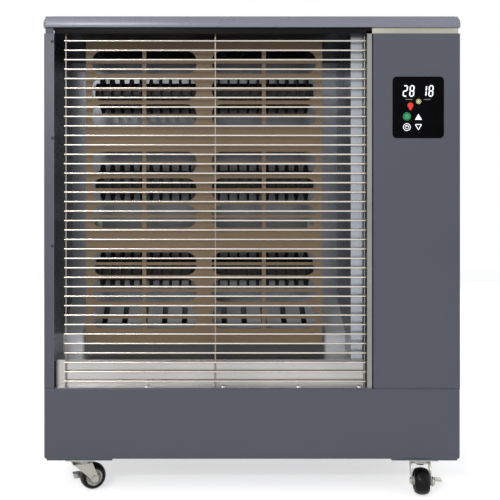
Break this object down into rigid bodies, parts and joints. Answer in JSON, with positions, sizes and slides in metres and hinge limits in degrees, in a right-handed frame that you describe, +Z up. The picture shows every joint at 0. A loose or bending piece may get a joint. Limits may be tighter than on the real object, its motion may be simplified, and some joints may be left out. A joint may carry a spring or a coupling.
{
  "type": "portable infrared oil heater",
  "caption": "Floor-standing infrared oil heater: steel cabinet with wire-guarded reflector chamber, slotted radiant panel, touch control column and tank base on swivel casters.",
  "frame": {"origin": "on the floor, under the middle of the whole object", "axes": "+Z up, -Y towards the wire guard's side (the front), +X to the right seen from the front"},
  "size_m": [0.695, 0.3996, 0.8],
  "materials": {
    "slate_paint": "satin powder coat",
    "zinc_sheet": "galvanised",
    "bright_stainless": "bright rolled",
    "tan_coating": "matt heat-proof coat",
    "dark_tube": "black heat-proof coat",
    "plain_steel": "mill finish",
    "burner_paint": "grey enamel",
    "guard_wire": "bright plated wire",
    "black_glass": "gloss",
    "board_green": "solder mask",
    "tank_steel": "grey enamel",
    "fuel_brass": "drawn",
    "black_plastic": "moulded",
    "clear_plastic": "clear moulded",
    "caster_zinc": "zinc plated",
    "hub_grey": "moulded",
    "tyre_black": "moulded rubber"
  },
  "bodies": {
    "cabinet": {"base_tray": "slate_paint", "base_deck": "slate_paint", "caster_rails": "slate_paint", "left_side_panel": "slate_paint", "right_side_panel": "slate_paint", "column_front_panel": "slate_paint", "back_panel": "slate_paint", "top_cover": "slate_paint", "top_frame": "zinc_sheet", "partition_wall": "zinc_sheet", "panel_brackets": "zinc_sheet", "floor_pan": "bright_stainless", "reflector_left": "bright_stainless", "reflector_right": "bright_stainless", "reflector_bottom": "bright_stainless", "reflector_top": "bright_stainless", "reflector_back": "bright_stainless", "radiant_tube_lower": "dark_tube", "radiant_tube_middle": "dark_tube", "radiant_tube_upper": "dark_tube", "header_left": "plain_steel", "header_right": "plain_steel", "combustion_tube": "plain_steel", "flue_outlet": "plain_steel", "blower_housing": "burner_paint", "burner_motor": "burner_paint", "fuel_pump": "burner_paint", "ignition_transformer": "burner_paint", "radiant_panel": "tan_coating", "wire_guard": "guard_wire", "touch_panel": "black_glass", "control_board": "board_green", "fuel_line": "fuel_brass", "fuel_tank": "tank_steel", "filler_neck": "plain_steel", "fuel_gauge": "clear_plastic", "cable_gland": "black_plastic", "caster_plates": "caster_zinc"},
    "swivel_front_left": {"caster_fork_front_left": "caster_zinc", "caster_axle_front_left": "caster_zinc"},
    "wheel_front_left": {"caster_hub_front_left": "hub_grey", "caster_tyre_front_left": "tyre_black"},
    "brake_front_left": {"caster_brake_front_left": "caster_zinc"},
    "swivel_front_right": {"caster_fork_front_right": "caster_zinc", "caster_axle_front_right": "caster_zinc"},
    "wheel_front_right": {"caster_hub_front_right": "hub_grey", "caster_tyre_front_right": "tyre_black"},
    "brake_front_right": {"caster_brake_front_right": "caster_zinc"},
    "swivel_rear_left": {"caster_fork_rear_left": "caster_zinc", "caster_axle_rear_left": "caster_zinc"},
    "wheel_rear_left": {"caster_hub_rear_left": "hub_grey", "caster_tyre_rear_left": "tyre_black"},
    "swivel_rear_right": {"caster_fork_rear_right": "caster_zinc", "caster_axle_rear_right": "caster_zinc"},
    "wheel_rear_right": {"caster_hub_rear_right": "hub_grey", "caster_tyre_rear_right": "tyre_black"},
    "filler_cap": {"filler_cap": "black_plastic"},
    "blower_wheel": {"blower_wheel": "zinc_sheet"}
  },
  "joints": [
    {"name": "caster_swivel_front_left", "type": "hinge", "parent": "cabinet", "child": "swivel_front_left", "pos_m": [-0.287, -0.159, 0.05], "axis": [0, 0, 1], "continuous": true},
    {"name": "wheel_roll_front_left", "type": "hinge", "parent": "swivel_front_left", "child": "wheel_front_left", "pos_m": [-0.27043, -0.15197, 0.022], "axis": [-0.3907, 0.9205, 0], "continuous": true},
    {"name": "brake_press_front_left", "type": "hinge", "parent": "swivel_front_left", "child": "brake_front_left", "pos_m": [-0.27043, -0.15197, 0.022], "axis": [0.3907, -0.9205, 0], "range_deg": [0, 18]},
    {"name": "caster_swivel_front_right", "type": "hinge", "parent": "cabinet", "child": "swivel_front_right", "pos_m": [0.287, -0.159, 0.05], "axis": [0, 0, 1], "continuous": true},
    {"name": "wheel_roll_front_right", "type": "hinge", "parent": "swivel_front_right", "child": "wheel_front_right", "pos_m": [0.28449, -0.17683, 0.022], "axis": [0.9903, -0.1392, 0], "continuous": true},
    {"name": "brake_press_front_right", "type": "hinge", "parent": "swivel_front_right", "child": "brake_front_right", "pos_m": [0.28449, -0.17683, 0.022], "axis": [-0.9903, 0.1392, 0], "range_deg": [0, 18]},
    {"name": "caster_swivel_rear_left", "type": "hinge", "parent": "cabinet", "child": "swivel_rear_left", "pos_m": [-0.287, 0.159, 0.05], "axis": [0, 0, 1], "continuous": true},
    {"name": "wheel_roll_rear_left", "type": "hinge", "parent": "swivel_rear_left", "child": "wheel_rear_left", "pos_m": [-0.28449, 0.17683, 0.022], "axis": [-0.9903, 0.1392, 0], "continuous": true},
    {"name": "caster_swivel_rear_right", "type": "hinge", "parent": "cabinet", "child": "swivel_rear_right", "pos_m": [0.287, 0.159, 0.05], "axis": [0, 0, 1], "continuous": true},
    {"name": "wheel_roll_rear_right", "type": "hinge", "parent": "swivel_rear_right", "child": "wheel_rear_right", "pos_m": [0.30079, 0.17057, 0.022], "axis": [-0.6428, 0.766, 0], "continuous": true},
    {"name": "filler_cap_lift", "type": "slide", "parent": "cabinet", "child": "filler_cap", "axis": [0, 0, 1], "range_m": [0, 0.06]},
    {"name": "blower_spin", "type": "hinge", "parent": "cabinet", "child": "blower_wheel", "pos_m": [0.224, -0.0062, 0.367], "axis": [1, 0, 0], "continuous": true}
  ]
}
